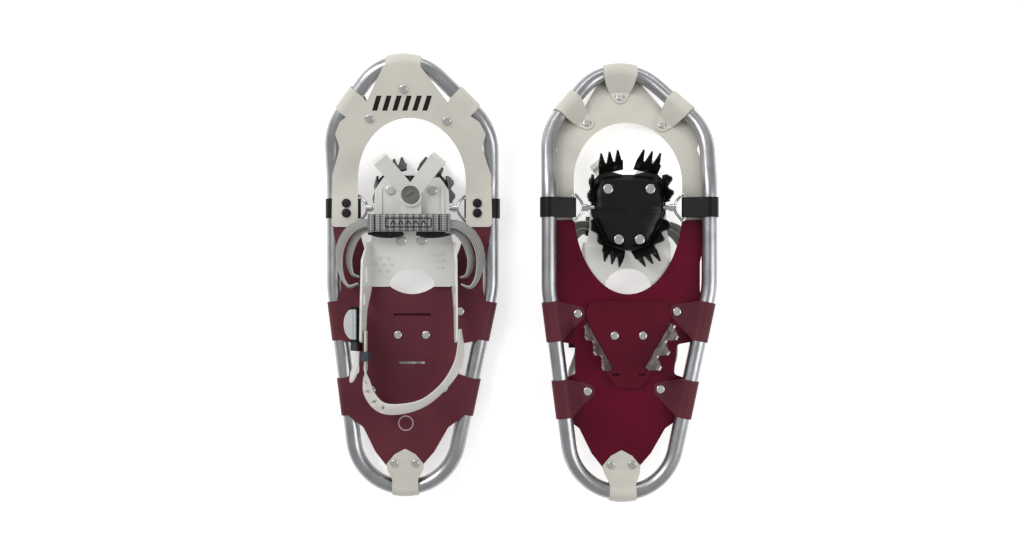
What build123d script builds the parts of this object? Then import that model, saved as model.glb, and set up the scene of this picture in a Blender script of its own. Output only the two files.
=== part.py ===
from build123d import *
from math import cos, radians, sin, tan
import os

# A pair of snowshoes: the left one stands deck up, the right one lies turned over.
# Each shoe is drawn in its own frame: +Y to the toe, +Z up, z = 0 at the middle of the
# frame tube. Turning a mirror-image shoe over is the same as changing the sign of z.

# Frame tube, in millimetres
TUBE_R = 9.25
TUBE_WALL = 1.2
RAIL_X = 96.5
TAIL_Y, TAIL_X = -257.5, 55.0
TAPER_Y = -12.0
BEND_Y = 115.0
SHOULDER_Y = 183.0
TOE_Y, TOE_X = 257.4, 27.0
TOE_RISE = 17.0
TOE_SHIFT, TAIL_SHIFT = -8.5, -10.7
TOE_MIDDLE, TAIL_MIDDLE = -6.7, -8.35
TAIL_BEND, TAPER_BEND, RISE_BEND, SHOULDER_BEND, TOE_BEND = 64.0, 120.0, 90.0, 70.0, 61.0

# Decks and the bands that wrap the tube
SHEET = 1.6
DECK_Z = 9.4
TOE_DECK_Z = DECK_Z + SHEET + 0.25
TOE_LIFT = 0.25
WRAP_R = TUBE_R + 0.3
RIVET_HOLE = 2.5

# Binding
PIVOT_Y, PIVOT_Z, PIVOT_R = 86.0, 6.0, 2.8
FOOT_Z, FOOT_T = 11.7, 3.0
ARM_BASE, ARM_FLARE, ARM_T = 50.0, 10.4, 2.6
STRAP_Z, STRAP_H, STRAP_T = 36.0, 16.0, 2.4
CRAMPON_Z, CRAMPON_T = 9.2, 2.2

# The pair
SHOE_X = 131.75
LEFT_Z, RIGHT_Z = 24.89, 55.0


def skew(y):
    """Sideways lean of the outline: both ends swing towards the outer side of the foot."""
    if y > SHOULDER_Y:
        return TOE_SHIFT * (y - SHOULDER_Y) / (TOE_Y - SHOULDER_Y)
    if y < TAPER_Y:
        return TAIL_SHIFT * (TAPER_Y - y) / (TAPER_Y - TAIL_Y)
    return 0.0


def frame_point(side, x, y):
    """A point of the frame's centre plane, which turns up ahead of BEND_Y."""
    rise = max(0.0, y - BEND_Y) * tan(radians(TOE_RISE))
    return Vector(side * x + skew(y), y, rise)


def toe_normal():
    return Vector(0, -sin(radians(TOE_RISE)), cos(radians(TOE_RISE)))


def toe_forward():
    return Vector(0, cos(radians(TOE_RISE)), sin(radians(TOE_RISE)))


def toe_tube_middle():
    return Vector(TOE_MIDDLE, TOE_Y, (TOE_Y - BEND_Y) * tan(radians(TOE_RISE)))


def outline(half, radius):
    """Closed face from the right-hand half of an outline, listed from toe to tail."""
    right = [(x + skew(y), y) for x, y in half]
    left = [(skew(y) - x, y) for x, y in reversed(half) if x > 0.01]
    return make_face(FilletPolyline(*right, *left, radius=radius, close=True))


def mirrored(half, radius):
    """Closed face, symmetric about x = 0, from its right-hand half."""
    left = [(-x, y) for x, y in reversed(half)]
    return make_face(FilletPolyline(*half, *left, radius=radius, close=True))


def slab(face, low, high):
    """Flat prism of a face drawn at z = 0."""
    return Pos(0, 0, low) * extrude(face, amount=high - low)


def disc(x, y, radius, low, high):
    return Pos(x, y, (low + high) / 2) * Cylinder(radius, high - low)


def rivet(at, head, low, high, shank=2.2, dome=2.0, normal=Vector(0, 0, 1)):
    """Rivet with a domed head at each end, from low to high along its normal."""
    cap = fillet(Cylinder(head, dome).edges().group_by(Axis.Z)[-1], dome * 0.8)
    body = Pos(0, 0, (low + high) / 2) * Cylinder(shank, high - low)
    top = Pos(0, 0, high + dome / 2) * cap
    bottom = Pos(0, 0, low - dome / 2) * Rot(X=180) * cap
    return Plane(origin=at, z_dir=normal) * (body + top + bottom)


# ---------------------------------------------------------------- frame

def frame_path():
    corners = [(TAIL_X, TAIL_Y), (RAIL_X, TAPER_Y), (RAIL_X, BEND_Y), (RAIL_X, SHOULDER_Y), (TOE_X, TOE_Y)]
    bends = [TAIL_BEND, TAPER_BEND, RISE_BEND, SHOULDER_BEND, TOE_BEND]
    right = [frame_point(1, x, y) for x, y in corners]
    left = [frame_point(-1, x, y) for x, y in reversed(corners)]
    start = Vector(TAIL_MIDDLE + 0.1, TAIL_Y, 0)
    end = Vector(TAIL_MIDDLE - 0.1, TAIL_Y, 0)
    return FilletPolyline(start, *right, *left, end, radius=bends + bends[::-1])


def frame_tube():
    path = frame_path()
    ring = Circle(TUBE_R) - Circle(TUBE_R - TUBE_WALL)
    return sweep(Plane(origin=path @ 0, z_dir=path % 0) * ring, path=path)


def frame_spigot():
    radius = TUBE_R - TUBE_WALL - 0.2
    wedge = make_face(Polyline((0, 0), (24, -120), (-24, -120), close=True))
    return Pos(TAIL_MIDDLE, TAIL_Y + TAIL_BEND, 0) * (Torus(TAIL_BEND, radius) & slab(wedge, -20, 20))


# ---------------------------------------------------------------- wrapped bands

def wrap_section(reach, low_z, high_z, slot=0.0):
    """Band round the tube: u = distance inboard of the tube's centre, then height.
    low_z and high_z are the outer heights of the pinched end; slot is the gap left in it."""
    pinch = 22.0
    middle = high_z - SHEET - slot / 2
    outer = make_hull((Circle(WRAP_R + SHEET) + Pos(pinch + 1, (low_z + high_z) / 2)
                       * Rectangle(2, high_z - low_z)).edges())
    inner = make_hull((Circle(WRAP_R) + Pos(pinch - 2, middle) * Rectangle(1, max(slot, 0.2))).edges())
    tongue = Pos((pinch + reach) / 2, (low_z + high_z) / 2) * Rectangle(reach - pinch, high_z - low_z)
    band = outer + tongue - inner
    if slot > 0:
        band -= Pos(pinch + 20, middle) * Rectangle(50, slot)
    return band


def tab(start, end, centre, up, width, rivet_u, rivet_v, low_z, high_z):
    """Tab round a straight run of tube, narrowing to a round end at its rivet."""
    along = (end - start).normalized()
    inboard = up.cross(along)
    if inboard.dot(Vector(-centre.X, 0, 0)) < 0:
        inboard = inboard * -1
    section = Plane(origin=centre, x_dir=inboard, z_dir=inboard.cross(up))
    band = extrude(section * wrap_section(rivet_u + 9, low_z, high_z), amount=width / 2, both=True)
    side = 1 if inboard.cross(up).dot(along) > 0 else -1
    flat = Plane(origin=centre, x_dir=inboard, z_dir=up)
    turn = 1 if flat.y_dir.dot(along) > 0 else -1
    shape = make_hull((Pos(-4, 0) * Rectangle(24, width) + Pos(rivet_u, turn * rivet_v) * Circle(9)).edges())
    return band & extrude(flat * shape, amount=40, both=True)


TAB_RIVET_U, TOE_RIVET_IN = 31.0, 30.0
TABS = [(-51.5, 48.0, 5.0), (-144.5, 46.0, 4.0)]


def tab_places(side):
    """Centre, width and rivet place of each main-deck tab on one tapered rail."""
    start = frame_point(side, TAIL_X, TAIL_Y)
    end = frame_point(side, RAIL_X, TAPER_Y)
    along = (end - start).normalized()
    inboard = Vector(0, 0, 1).cross(along) * side
    for y, width, ahead in TABS:
        centre = start + along * ((y - start.Y) / along.Y)
        yield start, end, centre, width, ahead, centre + inboard * TAB_RIVET_U + along * ahead


def side_tab_places(side):
    """Centre and rivet place of the toe deck's tab on one shoulder of the frame."""
    start = frame_point(side, RAIL_X, SHOULDER_Y)
    end = frame_point(side, TOE_X, TOE_Y)
    along = (end - start).normalized()
    inboard = toe_normal().cross(along) * side
    centre = start + (end - start) * 0.40
    return start, end, centre, centre + inboard * (TAB_RIVET_U - 1)


# ---------------------------------------------------------------- decks

CENTRE_RIVETS = [(side * 17.2, -69.0) for side in (-1, 1)]
CLIP_RIVETS = [(TAIL_MIDDLE + side * 12.9, -225.5) for side in (-1, 1)]
BLACK_RIVETS = [(side * 80.0, y) for side in (-1, 1) for y in (80.0, 92.0)]


def main_deck():
    half = [(97, 71), (96, 56), (87, 20), (87, -14), (90, -26), (84, -76), (62, -80), (60, -116),
            (74, -121), (71, -168), (52, -182), (36, -212), (16, -236)]
    deck = slab(outline(half, 5), DECK_Z, DECK_Z + SHEET)
    deck -= slab(Pos(0, 86) * Ellipse(66, 105), DECK_Z - 1, DECK_Z + 3)
    for side in (-1, 1):
        for start, end, centre, width, ahead, hole in tab_places(side):
            deck += tab(start, end, centre, Vector(0, 0, 1), width, TAB_RIVET_U, ahead,
                        DECK_Z - SHEET, DECK_Z + SHEET)
            deck -= disc(hole.X, hole.Y, RIVET_HOLE, 0, 20)
    for x, y in CENTRE_RIVETS + CLIP_RIVETS:
        deck -= disc(x, y, RIVET_HOLE, 0, 20)
    for y, length in ((-44, 46), (-103, 32)):
        deck -= slab(Pos(0, y) * SlotOverall(length, 3), 0, 20)
    return deck


def toe_sheet():
    """The bent sheet's side view, drawn out across the whole width."""
    slope = tan(radians(TOE_RISE))
    lean = SHEET / cos(radians(TOE_RISE))
    low = TOE_DECK_Z
    offset = (DECK_Z + TOE_LIFT) / cos(radians(TOE_RISE))
    knee = BEND_Y + (low - offset) / slope
    far = 275.0
    bottom = [(40, low), (knee, low), (far, offset + (far - BEND_Y) * slope)]
    knee_top = knee - (lean - SHEET) / slope
    top = [(40, low + SHEET), (knee_top, low + SHEET), (far, bottom[2][1] + lean)]
    under = FilletPolyline(*bottom, radius=100)
    over = FilletPolyline(*top, radius=100)
    ends = Line(bottom[0], top[0]) + Line(bottom[2], top[2])
    return extrude(Plane.YZ * make_face(under + over + ends), amount=130, both=True)


def toe_tab():
    """Centre tab: the band's section turned about the centre of the toe bend."""
    centre, up, forward = toe_tube_middle(), toe_normal(), toe_forward()
    section = Plane(origin=centre, x_dir=forward * -1, z_dir=(forward * -1).cross(up))
    pivot = Axis(origin=centre - forward * TOE_BEND, direction=up)
    band = revolve(section * wrap_section(40, DECK_Z - SHEET + TOE_LIFT, DECK_Z + SHEET + TOE_LIFT), pivot, 44)
    band = band.rotate(pivot, -22)
    flat = Plane(origin=centre, x_dir=(1, 0, 0), z_dir=up)
    shape = make_hull((Pos(0, 4) * Rectangle(42, 30) + Pos(0, -TOE_RIVET_IN) * Circle(9)).edges())
    return band & extrude(flat * shape, amount=40, both=True)


def toe_deck():
    half = [(21, 253), (24, 248), (50, 209), (62, 203), (84, 188), (91, 174), (86, 158), (97, 126), (98, 63)]
    opening = Pos(0, 118) * Ellipse(66, 75) + Pos(0, 68) * Rectangle(132, 100)
    plan = outline(half, 5) - opening
    deck = toe_sheet() & slab(plan, 0, 80)
    normal = toe_normal()
    for side in (-1, 1):
        start, end, centre, hole = side_tab_places(side)
        deck += tab(start, end, centre, normal, 32, TAB_RIVET_U - 1, 0,
                    DECK_Z - SHEET + TOE_LIFT, DECK_Z + SHEET + TOE_LIFT)
        deck -= Plane(origin=hole, z_dir=normal) * Cylinder(RIVET_HOLE, 60)
    deck += toe_tab()
    deck -= Plane(origin=toe_rivet_place(), z_dir=normal) * Cylinder(RIVET_HOLE, 60)
    for x, y in BLACK_RIVETS:
        deck -= disc(x, y, RIVET_HOLE, 0, 20)
    return deck


def toe_rivet_place():
    return toe_tube_middle() - toe_forward() * TOE_RIVET_IN


def tail_clip():
    """White clip that clamps the end of the deck and the joint of the tube at the tail."""
    low, high = DECK_Z - 0.1 - SHEET, TOE_DECK_Z + SHEET
    middle = TAIL_MIDDLE
    centre = Vector(middle, TAIL_Y, 0)
    section = Plane(origin=centre, x_dir=(0, 1, 0), z_dir=(1, 0, 0))
    pivot = Axis(origin=(middle, TAIL_Y + TAIL_BEND, 0), direction=(0, 0, 1))
    band = revolve(section * wrap_section(24, low, high, slot=SHEET + 0.2), pivot, 60).rotate(pivot, -30)
    plates = Pos(middle, -227, (low + high) / 2) * Box(70, 50, high - low)
    plates -= Pos(middle, -227, DECK_Z + SHEET / 2) * Box(71, 51, SHEET + 0.2)
    plates &= Pos(middle, -195, 0) * Box(70, 84, 60)
    shape = [(0, -208), (13, -215), (23, -227), (21, -236), (15.8, -246), (16.5, -275)]
    right = [(middle + x, y) for x, y in shape]
    left = [(middle - x, y) for x, y in reversed(shape[1:])]
    plan = make_face(FilletPolyline(*right, *left, radius=3, close=True))
    clip = (band + plates) & slab(plan, -30, 30)
    for x, y in CLIP_RIVETS:
        clip -= disc(x, y, RIVET_HOLE, 0, 20)
    return clip


# ---------------------------------------------------------------- rivets of the shoe

def toe_deck_rivets():
    normal = toe_normal()
    low, high = DECK_Z - SHEET + TOE_LIFT, DECK_Z + SHEET + TOE_LIFT
    group = rivet(toe_rivet_place(), 5.4, low, high, normal=normal)
    for side in (-1, 1):
        group += rivet(side_tab_places(side)[3], 5.4, low, high, normal=normal)
    return group


def deck_rivets():
    group = []
    for side in (-1, 1):
        for place in tab_places(side):
            group.append(rivet(place[5], 5.4, DECK_Z - SHEET, DECK_Z + SHEET))
    return Compound(children=group)


def heel_crampon_rivets():
    return Compound(children=[rivet((x, y, 0), 5.2, DECK_Z - 4.8, DECK_Z + SHEET) for x, y in CENTRE_RIVETS])


def tail_clip_rivets():
    low, high = DECK_Z - 0.1 - SHEET, TOE_DECK_Z + SHEET
    return Compound(children=[rivet((x, y, 0), 5.0, low, high) for x, y in CLIP_RIVETS])


def toe_strap_rivets():
    """Black rivets through the toe deck and the top layer of each toe strap."""
    return Compound(children=[rivet((x, y, 0), 5.6, 4.8, TOE_DECK_Z + SHEET, dome=2.6)
                              for x, y in BLACK_RIVETS])


# ---------------------------------------------------------------- toe straps and pivot

def toe_straps():
    """Flat belt round the tube and round the base of the wire loop, on each side."""
    outer = make_hull((Circle(WRAP_R + SHEET) + Pos(29, 3) * Circle(3.9)).edges())
    inner = make_hull((Circle(WRAP_R) + Pos(29, 3) * Circle(2.3)).edges())
    straps = []
    for side in (-1, 1):
        section = Plane(origin=(side * RAIL_X, PIVOT_Y, 0), x_dir=(-side, 0, 0), z_dir=(0, side, 0))
        belt = extrude(section * (outer - inner), amount=12, both=True)
        for x, y in BLACK_RIVETS:
            belt -= disc(x, y, RIVET_HOLE, 1, 20)
        straps.append(belt)
    return Compound(children=straps)


def wire_loops():
    """Steel wire triangle on each side, from the rod's sleeve round the inside of the strap."""
    loops = []
    for side in (-1, 1):
        route = [(55, 1.8, PIVOT_Z), (58, 8, 5.5), (67.5, 20, 3), (67.5, -20, 3), (58, -8, 5.5), (55, -1.8, PIVOT_Z)]
        path = FilletPolyline(*[(side * x, PIVOT_Y + y, z) for x, y, z in route], radius=[2.4, 2.2, 2.2, 2.4])
        loops.append(sweep(Plane(origin=path @ 0, z_dir=path % 0) * Circle(1.6), path=path))
    return Compound(children=loops)


def pivot_rod():
    rod = Pos(0, PIVOT_Y, PIVOT_Z) * Rot(Y=90) * Cylinder(PIVOT_R, 110)
    for side in (-1, 1):
        rod += Pos(side * 53, PIVOT_Y, PIVOT_Z) * Rot(Y=90) * Cylinder(4.6, 8)
    return rod


# ---------------------------------------------------------------- heel crampon

RAIL_FRONT, RAIL_BACK = (50.0, -54.0), (20.0, -108.0)


def toothed_plate(length, depth, teeth, thickness, root=0.45):
    """Plate in the XZ plane that hangs from z = 0, with pointed teeth along its lower edge."""
    pitch = length / teeth
    points = [(-length / 2, 0)]
    for i in range(teeth):
        left = -length / 2 + i * pitch
        points += [(left, -depth * root), (left + pitch * 0.30, -depth), (left + pitch * 0.52, -depth)]
        points += [(left + pitch * 0.86, -depth * root)]
    points += [(length / 2, -depth * root), (length / 2, 0)]
    return extrude(Plane.XZ * make_face(Polyline(*points, close=True)), amount=thickness / 2, both=True)


def rail_place(side):
    """Frame of one heel rail: X along the rail, leaning out towards its teeth."""
    front = Vector(side * RAIL_FRONT[0], RAIL_FRONT[1], 0)
    back = Vector(side * RAIL_BACK[0], RAIL_BACK[1], 0)
    along = (front - back).normalized()
    outward = Vector(0, 0, 1).cross(along) * -side
    lean = radians(18)
    up = Vector(0, 0, cos(lean)) - outward * sin(lean)
    middle = (front + back) * 0.5 + Vector(0, 0, 8.8)
    return Plane(origin=middle, x_dir=along, z_dir=up), (front - back).length


def heel_crampon():
    plate = slab(mirrored([(50, -48), (20, -108)], 6), 6.6, 9.0)
    for side in (-1, 1):
        place, length = rail_place(side)
        plate += place * toothed_plate(length, 35, 3, 2.4)
    for x, y in CENTRE_RIVETS:
        plate -= disc(x, y, RIVET_HOLE, 0, 20)
    return plate


def heel_crampon_cover():
    half = [(46, -27), (52, -42), (27, -116), (14, -132)]
    cover = slab(mirrored(half, 6), 4.6, 6.2)
    for side in (-1, 1):
        place, length = rail_place(side)
        cover -= place * Pos(0, 0, -20) * Box(length + 2, 3.6, 60)
    for x, y in CENTRE_RIVETS:
        cover -= disc(x, y, RIVET_HOLE, 0, 20)
    for side in (-1, 1):
        cover -= slab(Pos(side * 16, -116) * SlotOverall(9, 2.2), 0, 20)
    return cover


# ---------------------------------------------------------------- binding: underside

CRAMPON_RIVETS = [(-25.5, 108.0), (25.5, 108.0), (-12.6, 47.0), (12.6, 47.0)]


def toe_crampon():
    half = [(7, 126), (30, 132), (44, 118), (45, 78), (26, 36), (6, 34)]
    base = slab(mirrored(half, 2), CRAMPON_Z, CRAMPON_Z + CRAMPON_T)
    top = CRAMPON_Z + CRAMPON_T / 2
    flanges = [(21, 130, -12, 30, 40, 3, 30), (43.5, 109, -84, 33, 26, 2, 14), (17, 37, -160, 28, 40, 3, 30),
               (35, 57, -118, 34, 24, 2, 22)]
    for x, y, turn, length, depth, teeth, lean in flanges:
        for side in (-1, 1):
            plate = Rot(X=lean) * toothed_plate(length, depth, teeth, CRAMPON_T)
            base += Pos(side * x, y, top) * Rot(Z=side * turn) * plate
    for x, y in CRAMPON_RIVETS:
        base -= disc(x, y, RIVET_HOLE, 0, 20)
    return base


def crampon_pad():
    """Moulded rubber block under the crampon, with the pivot rod through it."""
    half = [(26, 124), (41, 114), (42, 80), (22, 40)]
    block = slab(mirrored(half, 6), -0.6, CRAMPON_Z - 0.1)
    block = fillet(block.edges().group_by(Axis.Z)[0], 3)
    block -= Pos(0, PIVOT_Y, PIVOT_Z) * Rot(Y=90) * Cylinder(PIVOT_R + 0.35, 120)
    for x, y in CRAMPON_RIVETS:
        block -= disc(x, y, RIVET_HOLE, -5, 20)
    return block


def crampon_rivets():
    return Compound(children=[rivet((x, y, 0), 6.2, -0.7, FOOT_Z + FOOT_T) for x, y in CRAMPON_RIVETS])


# ---------------------------------------------------------------- binding: footbed

def arm(side):
    """Heel arm: a flared side wall of the footbed with two long slots."""
    face = make_face(FilletPolyline((44, 0), (-12, 0), (-38, 18), (-76, 24), (-76, 40), (-30, 38), (22, 34),
                                    (44, 14), radius=5, close=True))
    for y, z, length in ((6, 21, 22), (-24, 29, 16)):
        face -= Pos(y, z) * SlotOverall(length, 7)
    wall = extrude(Plane.YZ * face, amount=ARM_T / 2, both=True)
    return Pos(side * ARM_BASE, 0, FOOT_Z) * Rot(Y=side * ARM_FLARE) * wall


def footbed():
    half = [(10, 118), (34, 124), (45, 108), (47, 60), (50, 44), (50, -10)]
    plan = mirrored(half, 4)
    plan -= Pos(0, -10) * Ellipse(28, 22)
    bed = slab(plan, FOOT_Z, FOOT_Z + FOOT_T)
    for side in (-1, 1):
        bed += arm(side)
        bed += Pos(side * 38, 88, FOOT_Z + FOOT_T + 1) * Box(4, 46, 2.4)
    for i in range(6):
        bed += Pos(-33 + 9 * cos(i * 1.047), 17 + 9 * sin(i * 1.047), FOOT_Z + FOOT_T) * Sphere(2.0)
    bed += Pos(-33, 17, FOOT_Z + FOOT_T) * Sphere(2.0)
    for i in range(3):
        bed += Pos(31 + i * 1.5, 30 - 8 * i, FOOT_Z + FOOT_T + 0.6) * Box(15 - 3 * i, 2.4, 1.6)
    for x, y in CRAMPON_RIVETS:
        bed -= disc(x, y, RIVET_HOLE, 0, 30)
    return bed


HUB_Y = 101.0


def control_wings():
    """V of two rising arms that steady the boot, on a hub block above the footbed."""
    low = FOOT_Z + FOOT_T + 0.1
    hub = disc(0, HUB_Y, 14, low, low + 13) + Pos(0, HUB_Y - 16, low + 5) * Box(25, 30, 10)
    for side in (-1, 1):
        bar = Pos(30, 0, 0) * Box(60, 19, 6) + Pos(57, 0, -3.5) * Box(6, 19, 13)
        hub += Pos(0, HUB_Y, low + 8) * Rot(Z=90 - side * 40) * Rot(Y=-28) * bar
    floor = Pos(0, HUB_Y, low - 20) * Box(200, 200, 40)
    return hub - floor - disc(0, HUB_Y, 4.2, 0, 40) - disc(0, HUB_Y, 11, low + 11.5, 60)


def hub_screw():
    low = FOOT_Z + FOOT_T + 0.1
    head = disc(0, HUB_Y, 10.4, low + 11.7, low + 15) - disc(0, HUB_Y, 7.6, low + 14.2, low + 16)
    head -= Pos(0, HUB_Y, low + 14) * Rot(Z=30) * Box(10, 2.2, 3)
    return head + disc(0, HUB_Y, 3.8, low + 0.2, low + 12)


# ---------------------------------------------------------------- binding: straps

def ribbon(route, radii, low, height, thickness):
    """Upright band of constant thickness along a flat route."""
    path = FilletPolyline(*[(x, y, 0) for x, y in route], radius=radii)
    start, way = path @ 0, path % 0
    section = Plane(origin=start, x_dir=way.cross(Vector(0, 0, 1)), z_dir=way) * Rectangle(thickness, height)
    return Pos(0, 0, low + height / 2) * sweep(section, path=path)


def instep_straps():
    """Doubled grey webbing from the instep plate round to the outside of each arm."""
    bands = []
    for side in (-1, 1):
        route = [(50, 69), (78, 56), (88, 22), (74, -14), (61.5, -8)]
        bands.append(ribbon([(side * x, y) for x, y in route], [14, 18, 11], 30, 11, 2.6))
        route = [(50, 62.5), (71, 48), (78, 22), (66, 2), (61.5, 3)]
        bands.append(ribbon([(side * x, y) for x, y in route], [12, 14, 4], 28, 9, 2.4))
    return Compound(children=bands)


def instep_plate():
    """Arched woven pad over the instep."""
    width, length, rise = 100, 22, 7
    arc = ThreePointArc((-width / 2, 0), (0, rise), (width / 2, 0))
    lid = ThreePointArc((-width / 2, 5), (0, rise + 5), (width / 2, 5))
    ends = Line((-width / 2, 0), (-width / 2, 5)) + Line((width / 2, 0), (width / 2, 5))
    face = make_face(arc + lid + ends)
    return Pos(0, 66.5, 43) * extrude(Plane.XZ * face, amount=length / 2, both=True)


def instep_cams():
    """Black cam blocks that the instep webbing runs through, below each end of the plate."""
    blocks = []
    for side in (-1, 1):
        block = Pos(side * 33, 63, 34) * Box(22, 22, 13)
        blocks.append(fillet(block.edges().filter_by(Axis.Y), 3))
    return Compound(children=blocks)


def heel_strap():
    """Heel strap from the end of the right arm round the heel to the left arm's buckle."""
    route = [(60.8, -60), (61, -92), (44, -124), (8, -156), (-28, -152), (-51.8, -126), (-51.6, -60)]
    return ribbon(route, [26, 40, 34, 28, 20], STRAP_Z, STRAP_H, STRAP_T)


def strap_keeper():
    outer = Box(9, 11, STRAP_H + 6)
    inner = Box(STRAP_T + 1.8, 12, STRAP_H + 1)
    return Pos(-51.7, -92, STRAP_Z + STRAP_H / 2) * (outer - inner)


PIN_X, PIN_Z, PIN_R = -65.0, 51.0, 1.6
BUCKLE_Y = -54.0


def heel_buckle_body():
    """Black base of the heel buckle on the outer face of the left arm, with two pin ears."""
    face = make_face(Polyline((-57.0, 35), (-71, 35), (-71, 38), (-62, 47.5), (-59.4, 48), close=True))
    base = Pos(0, BUCKLE_Y - 6, 0) * extrude(Plane.XZ * face, amount=26, both=True)
    for end in (-1, 1):
        ear = Pos(PIN_X, BUCKLE_Y + end * 19.5, PIN_Z - 1) * Box(7, 3, 8)
        base += ear + Pos(-62, BUCKLE_Y + end * 19.5, 45) * Box(5, 3, 8)
    return base - Pos(PIN_X, BUCKLE_Y, PIN_Z) * Rot(X=90) * Cylinder(PIN_R + 0.05, 60)


def heel_buckle_lever():
    """Half-disc lever that folds down over the base, hinged along its straight edge."""
    barrel = Rot(X=90) * Cylinder(3.2, 35)
    disc_half = (Rot(X=90) * Cylinder(18, 3.2)) & Pos(0, 0, 0) * Box(36, 4, 36)
    plate = Rot(X=90) * disc_half & Pos(-10, 0, 0) * Box(20, 40, 10)
    lever = Rot(Y=-45) * plate + barrel - Rot(X=90) * Cylinder(PIN_R + 0.35, 60)
    return Pos(PIN_X, BUCKLE_Y, PIN_Z) * lever


def heel_buckle_pin():
    return Pos(PIN_X, BUCKLE_Y, PIN_Z) * Rot(X=90) * Cylinder(PIN_R, 42)


# ---------------------------------------------------------------- the pair

PIECES = [frame_tube, frame_spigot, toe_deck, main_deck, tail_clip, toe_deck_rivets, deck_rivets,
          heel_crampon_rivets, tail_clip_rivets, toe_strap_rivets, toe_straps, wire_loops, pivot_rod,
          heel_crampon, heel_crampon_cover, toe_crampon, crampon_pad, crampon_rivets, footbed,
          control_wings, hub_screw, instep_straps, instep_plate, instep_cams, heel_strap,
          strap_keeper, heel_buckle_body, heel_buckle_lever, heel_buckle_pin]


def main():
    os.makedirs("parts", exist_ok=True)
    for make in PIECES:
        piece = Compound(children=make().solids())
        name = make.__name__
        export_step(Pos(-SHOE_X, 0, LEFT_Z) * piece, f"parts/left_{name}.step")
        turned = mirror(piece, about=Plane.XY)
        export_step(Pos(SHOE_X, 0, RIGHT_Z) * turned, f"parts/right_{name}.step")


main()
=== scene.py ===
import math

import bmesh
import bpy
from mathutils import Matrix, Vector


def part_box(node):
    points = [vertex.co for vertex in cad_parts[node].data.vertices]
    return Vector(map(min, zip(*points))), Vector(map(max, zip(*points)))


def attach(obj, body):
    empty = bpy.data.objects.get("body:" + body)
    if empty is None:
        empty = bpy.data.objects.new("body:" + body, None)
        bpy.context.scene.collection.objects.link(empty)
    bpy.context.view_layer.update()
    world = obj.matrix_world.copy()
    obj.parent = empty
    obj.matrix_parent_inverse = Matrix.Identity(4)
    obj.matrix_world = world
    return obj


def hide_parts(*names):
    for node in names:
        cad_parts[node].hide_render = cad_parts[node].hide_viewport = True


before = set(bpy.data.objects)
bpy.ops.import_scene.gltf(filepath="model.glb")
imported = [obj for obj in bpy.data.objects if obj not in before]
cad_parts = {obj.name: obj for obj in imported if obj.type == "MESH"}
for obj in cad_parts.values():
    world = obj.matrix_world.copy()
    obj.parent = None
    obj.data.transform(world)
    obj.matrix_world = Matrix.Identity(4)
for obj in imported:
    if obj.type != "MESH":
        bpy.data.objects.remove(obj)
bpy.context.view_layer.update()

SIDES = ("left", "right")
MM = 0.001
TUBE_R = 9.25 * MM
DECK_TOP = 11.0                                  # heights and places below are in a shoe's own mm
DECK_FACE = 9.1                                  # anything of the sheet under this is a folded tab
TOE_RISE, TOE_BEND_Y = math.radians(17), 115.0
TOE_SHEET_MIDDLE, SHEET = 9.65, 1.6
ROD_Y = 86.0


# ------------------------------------------------------------------ places

class Shoe:
    """Turns a point of one shoe's own frame, in millimetres, into the row frame in metres."""

    def __init__(self, side):
        rod_low, rod_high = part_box(side + "_pivot_rod")
        tube_low, tube_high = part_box(side + "_frame_tube")
        self.side = side
        self.x = (rod_low[0] + rod_high[0]) / 2
        self.up = 1 if side == "left" else -1
        self.z = tube_low[2] + TUBE_R if side == "left" else tube_high[2] - TUBE_R

    def at(self, x, y, z):
        return Vector((self.x + x * MM, y * MM, self.z + self.up * z * MM))


SHOES = [Shoe(side) for side in SIDES]


def add_mesh(name, verts, faces, body, uvs=None, smooth=True):
    mesh = bpy.data.meshes.new(name)
    mesh.from_pydata([tuple(v) for v in verts], [], faces)
    if uvs:
        layer = mesh.uv_layers.new(name="strip")
        for loop in mesh.loops:
            layer.data[loop.index].uv = uvs[loop.vertex_index]
    work = bmesh.new()
    work.from_mesh(mesh)
    bmesh.ops.recalc_face_normals(work, faces=work.faces)
    work.to_mesh(mesh)
    work.free()
    for polygon in mesh.polygons:
        polygon.use_smooth = smooth
    piece = bpy.data.objects.new(name, mesh)
    bpy.context.scene.collection.objects.link(piece)
    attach(piece, body)
    return piece


# ------------------------------------------------------------------ materials

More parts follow.
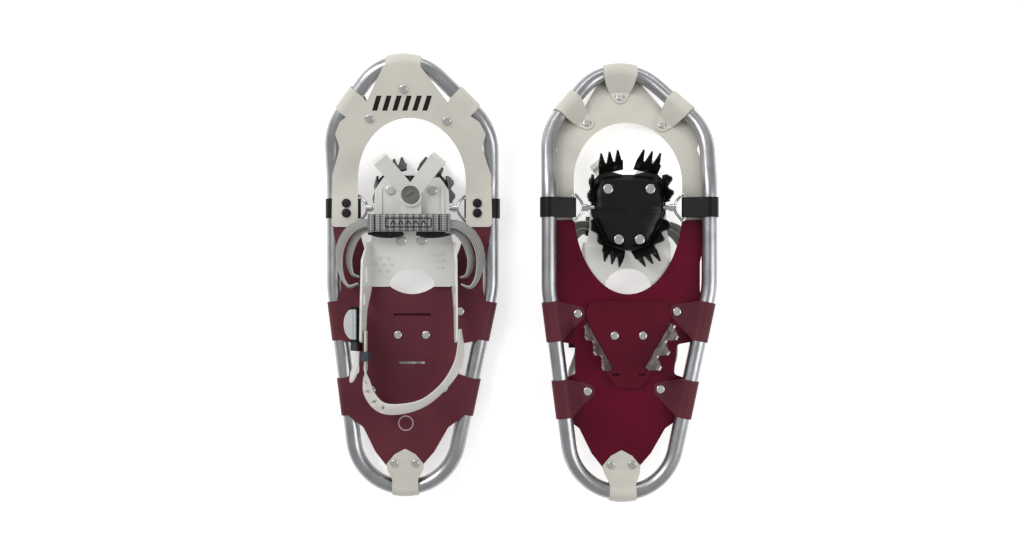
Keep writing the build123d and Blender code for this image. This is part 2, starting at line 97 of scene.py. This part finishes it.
class Shader:
    """One procedural material, built from a few kinds of node."""

    def __init__(self, name, roughness=0.5, metallic=0.0, coat=0.0, sheen=0.0, specular=0.5):
        self.material = bpy.data.materials.new(name)
        self.material.use_nodes = True
        self.nodes = self.material.node_tree.nodes
        self.links = self.material.node_tree.links
        self.out = self.nodes["Principled BSDF"]
        self.out.inputs["Roughness"].default_value = roughness
        self.out.inputs["Metallic"].default_value = metallic
        self.out.inputs["Coat Weight"].default_value = coat
        self.out.inputs["Sheen Weight"].default_value = sheen
        self.out.inputs["Specular IOR Level"].default_value = specular
        self.place = self.nodes.new("ShaderNodeTexCoord")
        self.bumps = None

    def stretched(self, scale, source="Object"):
        node = self.nodes.new("ShaderNodeMapping")
        node.inputs["Scale"].default_value = scale
        self.links.new(self.place.outputs[source], node.inputs["Vector"])
        return node.outputs["Vector"]

    def noise(self, scale, detail=3.0, stretch=(1, 1, 1), source="Object"):
        node = self.nodes.new("ShaderNodeTexNoise")
        node.inputs["Scale"].default_value = scale
        node.inputs["Detail"].default_value = detail
        self.links.new(self.stretched(stretch, source), node.inputs["Vector"])
        return node.outputs["Fac"]

    def wave(self, scale, direction="X", source="Object"):
        node = self.nodes.new("ShaderNodeTexWave")
        node.bands_direction = direction
        node.inputs["Scale"].default_value = scale
        node.inputs["Distortion"].default_value = 0.4
        node.inputs["Detail Scale"].default_value = 3.0
        self.links.new(self.place.outputs[source], node.inputs["Vector"])
        return node.outputs["Fac"]

    def math(self, operation, first, second=0.5):
        node = self.nodes.new("ShaderNodeMath")
        node.operation = operation
        for socket, value in zip(node.inputs, (first, second)):
            if isinstance(value, (int, float)):
                socket.default_value = value
            else:
                self.links.new(value, socket)
        return node.outputs["Value"]

    def ramp(self, fac, low, high, low_at=0.35, high_at=0.65):
        node = self.nodes.new("ShaderNodeValToRGB")
        node.color_ramp.elements[0].position = low_at
        node.color_ramp.elements[0].color = (*low, 1)
        node.color_ramp.elements[1].position = high_at
        node.color_ramp.elements[1].color = (*high, 1)
        self.links.new(fac, node.inputs["Fac"])
        return node.outputs["Color"]

    def mix(self, fac, first, second):
        node = self.nodes.new("ShaderNodeMix")
        node.data_type = "RGBA"
        self.links.new(fac, node.inputs[0])
        for socket, value in ((node.inputs[6], first), (node.inputs[7], second)):
            if isinstance(value, tuple):
                socket.default_value = (*value, 1)
            else:
                self.links.new(value, socket)
        return node.outputs[2]

    def color(self, value):
        self.links.new(value, self.out.inputs["Base Color"])

    def rough(self, fac, low, high):
        node = self.nodes.new("ShaderNodeMapRange")
        node.inputs["To Min"].default_value = low
        node.inputs["To Max"].default_value = high
        self.links.new(fac, node.inputs["Value"])
        self.links.new(node.outputs["Result"], self.out.inputs["Roughness"])

    def bump(self, height, strength, distance=0.0004):
        node = self.nodes.new("ShaderNodeBump")
        node.inputs["Strength"].default_value = strength
        node.inputs["Distance"].default_value = distance
        self.links.new(height, node.inputs["Height"])
        if self.bumps:
            self.links.new(self.bumps, node.inputs["Normal"])
        self.bumps = node.outputs["Normal"]
        self.links.new(self.bumps, self.out.inputs["Normal"])


def shade(color, factor):
    return tuple(min(1.0, channel * factor) for channel in color)


def metal(name, color, roughness, grain=(1, 1, 1), scale=900):
    """Bare metal with fine drawn lines, soft stains and rubbed patches."""
    look = Shader(name, metallic=1.0)
    stain = look.noise(35, 5)
    look.color(look.ramp(stain, shade(color, 0.88), shade(color, 1.06)))
    lines = look.noise(scale, 3, grain)
    blotches = look.math("MULTIPLY", lines, look.math("ADD", stain, 0.5))
    look.rough(blotches, roughness * 0.7, roughness * 1.4)
    look.bump(lines, 0.12, 0.0002)
    return look.material


def moulded(name, color, roughness, vary=0.05, grain=1400, strength=0.12, coat=0.0, specular=0.5):
    """Moulded plastic or rubber: faint mottling, dust and a fine skin texture."""
    look = Shader(name, coat=coat, specular=specular)
    cloud = look.noise(28, 4)
    look.color(look.ramp(cloud, shade(color, 1 - vary), shade(color, 1 + vary)))
    look.rough(look.noise(90, 4), roughness - 0.07, roughness + 0.09)
    look.bump(look.noise(grain, 2), strength, 0.0002)
    look.bump(look.noise(70, 2), strength * 0.7, 0.0006)
    return look.material


def scuffed_steel(name, paint, steel, amount):
    """Dark coated steel, scratched through to bare metal here and there."""
    look = Shader(name, metallic=0.85)
    scratch = look.noise(160, 8, (1.0, 0.25, 1.0))
    worn = look.ramp(scratch, (0, 0, 0), (1, 1, 1), amount, amount + 0.08)
    look.color(look.mix(worn, look.ramp(look.noise(60, 3), shade(paint, 0.7), shade(paint, 1.5)), steel))
    look.rough(scratch, 0.28, 0.55)
    look.bump(scratch, 0.25, 0.0003)
    look.bump(look.noise(1200, 2), 0.12, 0.0002)
    return look.material


def deck_material(shoe):
    """Deck sheet: matt dark red on top and round the tabs, glossier deep red underneath."""
    look = Shader(shoe.side + "_deck_sheet", specular=0.16)
    axes = look.nodes.new("ShaderNodeSeparateXYZ")
    look.links.new(look.place.outputs["Object"], axes.inputs[0])
    facing = look.nodes.new("ShaderNodeSeparateXYZ")
    look.links.new(look.place.outputs["Normal"], facing.inputs[0])
    height = look.math("MULTIPLY", look.math("SUBTRACT", axes.outputs["Z"], shoe.z), shoe.up)
    under = look.math("LESS_THAN", look.math("MULTIPLY", facing.outputs["Z"], shoe.up), -0.5)
    sheet = look.math("GREATER_THAN", height, DECK_FACE * MM)
    mask = look.math("MULTIPLY", under, sheet)
    cloud = look.noise(18, 5)
    top = look.ramp(cloud, (0.088, 0.016, 0.026), (0.118, 0.024, 0.036), 0.3, 0.7)
    bottom = look.ramp(look.noise(9, 3), (0.070, 0.0008, 0.009), (0.115, 0.0015, 0.016), 0.3, 0.7)
    look.color(look.mix(mask, top, bottom))
    fine = look.noise(240, 6)
    dull = look.math("MULTIPLY", look.math("SUBTRACT", 1.0, mask), 0.24)
    look.rough(look.math("ADD", look.math("MULTIPLY", fine, 0.16), dull), 0.20, 1.05)
    look.bump(look.noise(1600, 2), 0.18, 0.0002)
    look.bump(look.noise(26, 2), 0.25, 0.0012)
    return look.material


def glossy_cover():
    look = Shader("glossy_cover", specular=0.22)
    look.color(look.ramp(look.noise(14, 4), (0.060, 0.0006, 0.008), (0.105, 0.0012, 0.014), 0.3, 0.7))
    look.rough(look.noise(120, 5), 0.16, 0.32)
    look.bump(look.noise(22, 2), 0.5, 0.002)
    look.bump(look.noise(1500, 2), 0.10, 0.0002)
    return look.material


def webbing(name, dark, light, ribs, weave):
    """Woven strap: ribs along its length and cross threads over them, from the strip's own map."""
    look = Shader(name, roughness=0.75, sheen=0.25)
    rib = look.wave(ribs, "Y", "UV")
    thread = look.wave(weave, "X", "UV")
    cloth = look.math("ADD", look.math("MULTIPLY", rib, 0.65), look.math("MULTIPLY", thread, 0.35))
    fuzz = look.noise(700, 4)
    shading = look.math("ADD", look.math("MULTIPLY", cloth, 0.8), look.math("MULTIPLY", fuzz, 0.2))
    look.color(look.ramp(shading, dark, light, 0.25, 0.75))
    look.rough(fuzz, 0.6, 0.9)
    look.bump(cloth, 0.6, 0.0004)
    look.bump(fuzz, 0.2, 0.0002)
    return look.material


def strip_plastic(name, color):
    """Flexible moulded strap: soft mottling, a raised line along each edge and fine scuffs."""
    look = Shader(name, roughness=0.42, coat=0.1)
    look.color(look.ramp(look.noise(30, 4), shade(color, 0.93), shade(color, 1.03)))
    look.rough(look.noise(110, 5), 0.34, 0.52)
    look.bump(look.wave(0.6, "Y", "UV"), 0.15, 0.0004)
    look.bump(look.noise(1100, 2), 0.10, 0.0002)
    return look.material


CREAM = (0.56, 0.54, 0.48)
WHITE = (0.66, 0.655, 0.62)
LOOKS = {
    "aluminium": metal("satin_aluminium", (0.40, 0.405, 0.42), 0.30, (1.0, 0.05, 1.0)),
    "rivet": metal("rivet_aluminium", (0.62, 0.62, 0.61), 0.24),
    "wire": metal("bright_wire", (0.58, 0.58, 0.58), 0.2),
    "screw": metal("screw_steel", (0.16, 0.155, 0.15), 0.4),
    "steel": scuffed_steel("bare_steel", (0.34, 0.34, 0.34), (0.62, 0.61, 0.60), 0.50),
    "black_steel": scuffed_steel("black_steel", (0.020, 0.020, 0.021), (0.16, 0.16, 0.16), 0.60),
    "cream": moulded("cream_sheet", CREAM, 0.46, 0.04, 1700, 0.10),
    "white": moulded("white_plastic", WHITE, 0.36, 0.03, 1300, 0.08, 0.15),
    "black": moulded("black_plastic", (0.008, 0.008, 0.009), 0.34, 0.25, specular=0.25),
    "rubber": moulded("black_rubber", (0.006, 0.006, 0.007), 0.30, 0.25, 1000, 0.2, specular=0.2),
    "silver": moulded("silver_plastic", (0.40, 0.405, 0.41), 0.28, 0.06, 1500, 0.06, 0.4),
    "slate": moulded("slate_plastic", (0.040, 0.052, 0.068), 0.42, 0.15, specular=0.3),
    "cover": glossy_cover(),
    "webbing": webbing("grey_webbing", (0.10, 0.10, 0.098), (0.42, 0.415, 0.40), 1.6, 9),
    "strap": strip_plastic("white_strap", (0.62, 0.60, 0.56)),
    "ink": moulded("dark_print", (0.012, 0.009, 0.008), 0.6, 0.2, specular=0.15),
    "pale_ink": moulded("pale_print", (0.42, 0.33, 0.34), 0.6, 0.1),
}
NODE_LOOKS = {
    "frame_tube": "aluminium", "frame_spigot": "aluminium", "toe_deck": "cream", "tail_clip": "cream",
    "toe_deck_rivets": "rivet", "deck_rivets": "rivet", "heel_crampon_rivets": "rivet",
    "tail_clip_rivets": "rivet", "toe_strap_rivets": "black", "toe_straps": "rubber",
    "wire_loops": "wire", "pivot_rod": "wire", "heel_crampon": "steel", "heel_crampon_cover": "cover",
    "toe_crampon": "black_steel", "crampon_rivets": "rivet", "footbed": "white",
    "control_wings": "white", "hub_screw": "screw", "instep_cams": "black",
    "heel_buckle_body": "black", "heel_buckle_pin": "wire", "heel_buckle_lever": "silver",
    "strap_keeper": "slate",
}
SOFT_EDGES = {"footbed": 0.7, "control_wings": 1.6, "toe_crampon": 0.35, "heel_crampon": 0.35,
              "strap_keeper": 0.8, "heel_buckle_body": 0.8, "heel_buckle_lever": 0.6, "toe_straps": 0.4,
              "tail_clip": 0.4, "heel_crampon_cover": 0.5, "hub_screw": 0.5}


def paint(piece, material):
    piece.data.materials.clear()
    piece.data.materials.append(material)


def paint_node(name, material):
    """Gives every material slot of a CAD node this material."""
    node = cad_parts[name]
    for slot in node.material_slots:
        slot.material = material
    return node


def dress_cad_nodes(shoe):
    for part, look in NODE_LOOKS.items():
        node = paint_node(shoe.side + "_" + part, LOOKS[look])
        if part in SOFT_EDGES:
            bevel = node.modifiers.new("soft_edges", "BEVEL")
            bevel.width = SOFT_EDGES[part] * MM
            bevel.segments = 2
            bevel.limit_method = "ANGLE"
            bevel.angle_limit = math.radians(40)
            bevel.harden_normals = True
    paint_node(shoe.side + "_main_deck", deck_material(shoe))


# ------------------------------------------------------------------ ribbons

def smooth_line(points, steps=10):
    """Catmull-Rom curve through the points, as a list of vectors."""
    points = [Vector(p) for p in points]
    ends = [points[0] * 2 - points[1]] + points + [points[-1] * 2 - points[-2]]
    line = []
    for a, b, c, d in zip(ends, ends[1:], ends[2:], ends[3:]):
        for i in range(steps):
            t = i / steps
            line.append(0.5 * (2 * b + (c - a) * t + (2 * a - 5 * b + 4 * c - d) * t * t
                               + (3 * b - a - 3 * c + d) * t ** 3))
    line.append(points[-1])
    return line


def ribbon(name, shoe, route, width, thickness, body, tip=0.0):
    """Strap along a route of (x, y, z, lean), where lean tips its width from upright, in degrees.

    tip is the number of steps at the far end over which it narrows to a rounded point.
    """
    line = smooth_line([p[:3] for p in route])
    leans = smooth_line([(p[3], 0, 0) for p in route])
    corners = [(-0.5, -0.3), (-0.46, -0.5), (0.46, -0.5), (0.5, -0.3),
               (0.5, 0.3), (0.46, 0.5), (-0.46, 0.5), (-0.5, 0.3)]
    verts, uvs, faces = [], [], []
    length = 0.0
    for i, middle in enumerate(line):
        ahead = line[min(i + 1, len(line) - 1)] - line[max(i - 1, 0)]
        outward = ahead.cross(Vector((0, 0, 1))).normalized()
        lean = math.radians(leans[i].x)
        across = Vector((0, 0, 1)) * math.cos(lean) + outward * math.sin(lean)
        normal = ahead.normalized().cross(across)
        if i:
            length += (middle - line[i - 1]).length
        taper = min(1.0, math.sqrt(max(0.02, (len(line) - 1 - i) / tip))) if tip else 1.0
        for u, v in corners:
            point = middle + across * (u * width * taper) + normal * (v * thickness)
            verts.append(shoe.at(*point))
            uvs.append((length / 10, u))
    count = len(corners)
    for i in range(len(line) - 1):
        for j in range(count):
            k = (j + 1) % count
            faces.append((i * count + j, i * count + k, (i + 1) * count + k, (i + 1) * count + j))
    faces.append(tuple(range(count)))
    faces.append(tuple(range((len(line) - 1) * count, len(line) * count)))
    return add_mesh(name, verts, faces, body, uvs)


def cut(piece, cutter):
    """Takes the cutter out of the piece for good."""
    tool = piece.modifiers.new("cut", "BOOLEAN")
    tool.operation = "DIFFERENCE"
    tool.solver = "EXACT"
    tool.object = cutter
    graph = bpy.context.evaluated_depsgraph_get()
    mesh = bpy.data.meshes.new_from_object(piece.evaluated_get(graph), depsgraph=graph)
    piece.modifiers.clear()
    piece.data = mesh
    bpy.data.objects.remove(cutter)


# ------------------------------------------------------------------ straps

HEEL_ROUTE = [(60.5, -60, 43, 4), (61, -82, 43, 24), (57, -104, 43, 40), (42, -127, 44, 34),
              (18, -147, 45, 40), (-10, -155, 45, 58), (-33, -153, 44.5, 66), (-47, -138, 44, 62),
              (-51.0, -121, 44, 36), (-51.7, -109, 44, 0), (-51.7, -100, 44, 0),
              (-51.7, -92, 44, 0), (-51.6, -76, 44, 0), (-51.6, -62, 44, 0)]


def hole_cutter(shoe, line, places, radius, reach):
    """Row of short rods through a strap, all in one mesh."""
    work = bmesh.new()
    for place in places:
        index = int(place * (len(line) - 1))
        ahead = (line[index + 1] - line[index - 1]).normalized()
        normal = ahead.cross(Vector((0, 0, 1))).normalized()
        rings = []
        for end in (-reach, reach):
            ring = []
            for k in range(12):
                turn = math.tau * k / 12
                point = (line[index] + normal * end + ahead * (math.cos(turn) * radius * 1.5)
                         + Vector((0, 0, 1)) * math.sin(turn) * radius)
                ring.append(work.verts.new(shoe.at(*point)))
            rings.append(ring)
        for k in range(12):
            work.faces.new((rings[0][k], rings[0][k - 1], rings[1][k - 1], rings[1][k]))
        for ring in rings:
            work.faces.new(ring)
    bmesh.ops.recalc_face_normals(work, faces=work.faces)
    mesh = bpy.data.meshes.new("holes")
    work.to_mesh(mesh)
    work.free()
    cutter = bpy.data.objects.new("holes", mesh)
    bpy.context.scene.collection.objects.link(cutter)
    return cutter


def heel_strap(shoe):
    body = shoe.side + "_binding"
    band = ribbon(shoe.side + "_heel_band", shoe, HEEL_ROUTE, 15, 2.2, body)
    line = smooth_line([p[:3] for p in HEEL_ROUTE])
    holes = [0.46 + 0.047 * i for i in range(8)]
    cut(band, hole_cutter(shoe, line, holes, 1.5, 6))
    paint(band, LOOKS["strap"])
    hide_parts(shoe.side + "_heel_strap")


def strap_tail(shoe):
    """Free end of the heel strap, past the buckle and outside the arm."""
    route = [(-60, -86, 44, -10), (-62, -98, 43, -24), (-66, -112, 42, -38), (-70, -124, 41, -46)]
    tail = ribbon(shoe.side + "_heel_strap_tail", shoe, route, 13, 2.0, shoe.side + "_binding", tip=9)
    paint(tail, LOOKS["strap"])


def instep_straps(shoe):
    """Two lengths of ribbed webbing on each side, looped out beside the footbed."""
    for hand in (-1, 1):
        outer = [(44, 67, 43, 40), (60, 65, 41, 58), (76, 53, 37, 66), (85, 32, 33, 58), (83, 6, 32, 30),
                 (74, -9, 34, 14), (62, -6, 35, 4)]
        inner = [(44, 59, 38, 30), (57, 57, 36, 52), (68, 44, 33, 62), (74, 24, 29.5, 56),
                 (70, 6, 30, 24), (61, 2, 31, 6)]
        for number, (route, width) in enumerate(((outer, 12), (inner, 10))):
            if hand > 0:
                route = [(x - 1, y - 1, z, lean) for x, y, z, lean in route]
            route = [(hand * x, y, z, hand * lean) for x, y, z, lean in route]
            name = "{}_webbing_{}_{}".format(shoe.side, "outer" if number == 0 else "inner",
                                             "a" if hand < 0 else "b")
            band = ribbon(name, shoe, route, width, 2.0, shoe.side + "_binding")
            paint(band, LOOKS["webbing"])
    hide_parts(shoe.side + "_instep_straps")


# ------------------------------------------------------------------ instep pad

PAD_X, PAD_Y, PAD_LONG, PAD_WIDE = 0.0, 66.5, 98.0, 21.0


def pad_height(u, v):
    """Top of the pad over its own plan, from -1 to 1 each way: arched, with a soft rolled edge."""
    edge = (1 - abs(u) ** 10) * (1 - abs(v) ** 6)
    return 47.6 + 3.6 * (1 - u * u) + 2.6 * edge


def pad_weave():
    """Checked grey weave in the row frame, fine enough to read as cloth."""
    look = Shader("grey_weave", roughness=0.8, sheen=0.2)
    warp, weft = look.wave(95, "X"), look.wave(120, "Y")
    cloth = look.math("ADD", look.math("MULTIPLY", warp, 0.5), look.math("MULTIPLY", weft, 0.5))
    block = look.math("MULTIPLY", look.wave(40, "X"), 0.45)
    look.color(look.ramp(look.math("ADD", look.math("MULTIPLY", cloth, 0.7), block),
                         (0.060, 0.056, 0.058), (0.30, 0.29, 0.29), 0.3, 0.8))
    look.bump(cloth, 0.7, 0.0004)
    look.bump(look.noise(800, 3), 0.25, 0.0002)
    return look.material


def instep_pad(shoe, weave):
    columns, rows = 48, 14
    verts, faces = [], []
    for top in (True, False):
        for i in range(columns + 1):
            for j in range(rows + 1):
                u, v = -1 + 2 * i / columns, -1 + 2 * j / rows
                height = pad_height(u, v) if top else 43.6 + 3.8 * (1 - u * u)
                verts.append(shoe.at(PAD_X + u * PAD_LONG / 2, PAD_Y + v * PAD_WIDE / 2, height))
    half = (columns + 1) * (rows + 1)
    for i in range(columns):
        for j in range(rows):
            a = i * (rows + 1) + j
            quad = (a, a + 1, a + rows + 2, a + rows + 1)
            faces.append(quad)
            faces.append(tuple(half + k for k in reversed(quad)))
    rim = [i * (rows + 1) for i in range(columns + 1)]
    rim += [columns * (rows + 1) + j for j in range(1, rows + 1)]
    rim += [i * (rows + 1) + rows for i in range(columns - 1, -1, -1)]
    rim += list(range(rows - 1, 0, -1))
    for a, b in zip(rim, rim[1:] + rim[:1]):
        faces.append((a, b, half + b, half + a))
    pad = add_mesh(shoe.side + "_instep_pad", verts, faces, shoe.side + "_binding")
    paint(pad, weave)
    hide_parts(shoe.side + "_instep_plate")


def pad_strip(shoe, name, points, width, lift=0.25):
    """Thin dark trim laid on the pad along points of its plan, in millimetres from its middle."""
    verts, faces = [], []
    line = []
    for (x0, y0), (x1, y1) in zip(points, points[1:]):
        steps = max(2, int(math.hypot(x1 - x0, y1 - y0) / 2))
        line += [(x0 + (x1 - x0) * k / steps, y0 + (y1 - y0) * k / steps) for k in range(steps)]
    line.append(points[-1])
    for i, (x, y) in enumerate(line):
        before, after = line[max(i - 1, 0)], line[min(i + 1, len(line) - 1)]
        ahead = Vector((after[0] - before[0], after[1] - before[1], 0)).normalized()
        out = Vector((-ahead.y, ahead.x, 0)) * width / 2
        for side, height in ((1, -0.2), (1, lift), (-1, lift), (-1, -0.2)):
            px, py = x + out.x * side, y + out.y * side
            z = pad_height(px * 2 / PAD_LONG, py * 2 / PAD_WIDE) + height
            verts.append(shoe.at(PAD_X + px, PAD_Y + py, z))
    for i in range(len(line) - 1):
        for k in range(4):
            m = (k + 1) % 4
            faces.append((i * 4 + k, i * 4 + m, i * 4 + 4 + m, i * 4 + 4 + k))
    faces += [(0, 1, 2, 3), tuple(range(len(verts) - 4, len(verts)))]
    trim = add_mesh(name, verts, faces, shoe.side + "_binding", smooth=False)
    paint(trim, LOOKS["ink"])


def pad_trim(shoe):
    """Outlined panel with a row of plain chevrons, and the dark bars at the pad's ends."""
    half_x, half_y = 27, 5.2
    outline = [(-half_x, -half_y), (half_x, -half_y), (half_x, half_y), (-half_x, half_y),
               (-half_x, -half_y)]
    pad_strip(shoe, shoe.side + "_pad_outline", outline, 1.2)
    for number in range(5):
        x = -18 + 9 * number
        chevron = [(x - 3, -2.6), (x, 2.6), (x + 3, -2.6)]
        pad_strip(shoe, "{}_pad_chevron_{}".format(shoe.side, number), chevron, 1.3)
    for number, x in enumerate((-40, 36)):
        pad_strip(shoe, "{}_pad_bar_{}".format(shoe.side, number), [(x, -9), (x, 9)], 1.6)


# ------------------------------------------------------------------ crampon pad

def crampon_pad(shoe):
    """Soft moulded cover under the toe crampon, pinched where it folds round the rod."""
    outline = [(0, 124), (20, 124), (33, 120), (41, 110), (42.5, 88), (41, 76), (33, 58),
               (24, 42), (12, 38.5), (0, 38)]
    ring = outline + [(-x, y) for x, y in reversed(outline[1:-1])]
    dense = [(p.x, p.y) for p in smooth_line([(x, y, 0) for x, y in ring + ring[:1]], 4)][:-1]
    middle_y, shells = 84.0, 9
    verts, faces = [], []
    count = len(dense)
    for shell in range(shells + 1):
        t = shell / shells
        for x, y in dense:
            px, py = x * (1 - t * 0.97), middle_y + (y - middle_y) * (1 - t * 0.97)
            fold = math.exp(-((py - ROD_Y) / 3.0) ** 2) * 1.1
            fold -= math.exp(-((py - ROD_Y + 6) / 2.5) ** 2) * 0.6
            ripple = 0.25 * math.sin(px * 0.16) * math.sin(py * 0.21)
            drop = 3.6 + 4.6 * (1 - (1 - t) ** 5) ** 0.5 + 0.7 * t
            drop += fold * min(1, t * 4) + ripple * min(1, t * 3)
            verts.append(shoe.at(px, py, 7.6 - drop))
    for shell in range(shells):
        for k in range(count):
            m = (k + 1) % count
            outer, inner = shell * count, (shell + 1) * count
            faces.append((outer + k, outer + m, inner + m, inner + k))
    faces.append(tuple(range(shells * count, (shells + 1) * count)))
    base = len(verts)
    for x, y in dense:
        verts.append(shoe.at(x * 0.985, y, 8.9))
    for k in range(count):
        m = (k + 1) % count
        faces.append((k, m, base + m, base + k))
    faces.append(tuple(base + k for k in range(count)))
    pad = add_mesh(shoe.side + "_crampon_cover_pad", verts, faces, shoe.side + "_binding")
    paint(pad, LOOKS["rubber"])
    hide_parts(shoe.side + "_crampon_pad")


# ------------------------------------------------------------------ prints and small relief

def flat_shape(name, shoe, outer, inner, low, high, look, body, tilt=None):
    """Thin raised print: a closed ring of plan points, with an optional ring cut out of it."""
    lift = tilt or (lambda x, y: 0.0)
    verts, faces = [], []
    count = len(outer)
    rings = [outer, inner or outer]
    for ring in rings:
        for level in (low, high):
            verts += [shoe.at(x, y, level + lift(x, y)) for x, y in ring]
    for k in range(count):
        m = (k + 1) % count
        faces.append((k, m, count + m, count + k))
        if inner:
            faces.append((2 * count + k, 2 * count + m, 3 * count + m, 3 * count + k))
            faces.append((k, m, 2 * count + m, 2 * count + k))
            faces.append((count + k, count + m, 3 * count + m, 3 * count + k))
    if not inner:
        verts = verts[:2 * count]
        faces.append(tuple(range(count)))
        faces.append(tuple(range(count, 2 * count)))
    piece = add_mesh(name, verts, faces, body, smooth=False)
    paint(piece, LOOKS[look])


def circle(x, y, radius, count=48):
    return [(x + radius * math.cos(math.tau * k / count), y + radius * math.sin(math.tau * k / count))
            for k in range(count)]


def deck_prints(shoe):
    """Plain ring near the tail, and a plain row of dark slanted bars on the toe sheet."""
    body = shoe.side + "_shoe"
    flat_shape(shoe.side + "_ring_print", shoe, circle(-7.5, -177, 9.4), circle(-7.5, -177, 8.1),
               DECK_TOP - 0.05, DECK_TOP + 0.06, "pale_ink", body)

    def rise(x, y):
        return (y - TOE_BEND_Y) * math.tan(TOE_RISE)

    level = (TOE_SHEET_MIDDLE + SHEET) / math.cos(TOE_RISE)
    for number in range(6):
        x = -45 + 12 * number
        slanted = [(x, 201), (x + 6, 201), (x + 12, 218), (x + 6, 218)]
        flat_shape("{}_toe_mark_{}".format(shoe.side, number), shoe, slanted, None,
                   level - 0.05, level + 0.12, "ink", body, rise)


def under_straps(shoe):
    """Dark adjusting straps that run out from under the instep pad on each hand."""
    for hand in (-1, 1):
        route = [(hand * 8, 56, 37, -hand * 60), (hand * 22, 53, 37, -hand * 62),
                 (hand * 38, 54, 36, -hand * 62), (hand * 50, 57, 35, -hand * 50)]
        name = "{}_adjuster_{}".format(shoe.side, "a" if hand < 0 else "b")
        strap = ribbon(name, shoe, route, 9, 2.4, shoe.side + "_binding")
        paint(strap, LOOKS["black"])


# ------------------------------------------------------------------ floor, light and camera

def studio():
    work = bpy.data.meshes.new("floor")
    reach, drop = 6.0, -0.001
    corners = [(-reach, -reach, drop), (reach, -reach, drop), (reach, reach, drop), (-reach, reach, drop)]
    work.from_pydata(corners, [], [(0, 1, 2, 3)])
    floor = bpy.data.objects.new("floor", work)
    bpy.context.scene.collection.objects.link(floor)
    ground = moulded("pale_floor", (0.93, 0.93, 0.93), 0.8, 0.01, 300, 0.02)
    ground_shader = ground.node_tree.nodes["Principled BSDF"]
    ground_shader.inputs["Emission Color"].default_value = (1, 1, 1, 1)
    ground_shader.inputs["Emission Strength"].default_value = 0.45
    paint(floor, ground)
    world = bpy.data.worlds.new("studio")
    world.use_nodes = True
    world.node_tree.nodes["Background"].inputs[0].default_value = (1, 1, 1, 1)
    world.node_tree.nodes["Background"].inputs[1].default_value = 0.50
    bpy.context.scene.world = world
    lamps = [("key", (-1.1, 0.8, 1.3), (0.5, 1.3), 15), ("fill", (1.3, -0.2, 1.2), (0.6, 1.3), 8),
             ("strip", (0.0, 1.6, 0.9), (1.6, 0.3), 6)]
    for name, place, size, power in lamps:
        lamp = bpy.data.lights.new(name, "AREA")
        lamp.shape = "RECTANGLE"
        lamp.size, lamp.size_y = size
        lamp.energy = power
        holder = bpy.data.objects.new(name, lamp)
        holder.location = place
        holder.rotation_euler = (-Vector(place)).to_track_quat("-Z", "Y").to_euler()
        bpy.context.scene.collection.objects.link(holder)


def camera():
    """Straight down over the pair, from close enough for tall parts to lean outwards."""
    distance, width = 1.21, 1.2485
    lens = bpy.data.cameras.new("camera")
    lens.sensor_width = 36.0
    lens.lens = lens.sensor_width * distance / width
    lens.clip_start = 0.01
    holder = bpy.data.objects.new("camera", lens)
    holder.location = (-0.0094, 0.0116, distance + 0.04)
    bpy.context.scene.collection.objects.link(holder)
    bpy.context.scene.camera = holder
    bpy.context.scene.view_settings.view_transform = "Standard"


camera()
studio()
WEAVE = pad_weave()
for each in SHOES:
    dress_cad_nodes(each)
    heel_strap(each)
    strap_tail(each)
    instep_straps(each)
    instep_pad(each, WEAVE)
    pad_trim(each)
    under_straps(each)
    crampon_pad(each)
    deck_prints(each)
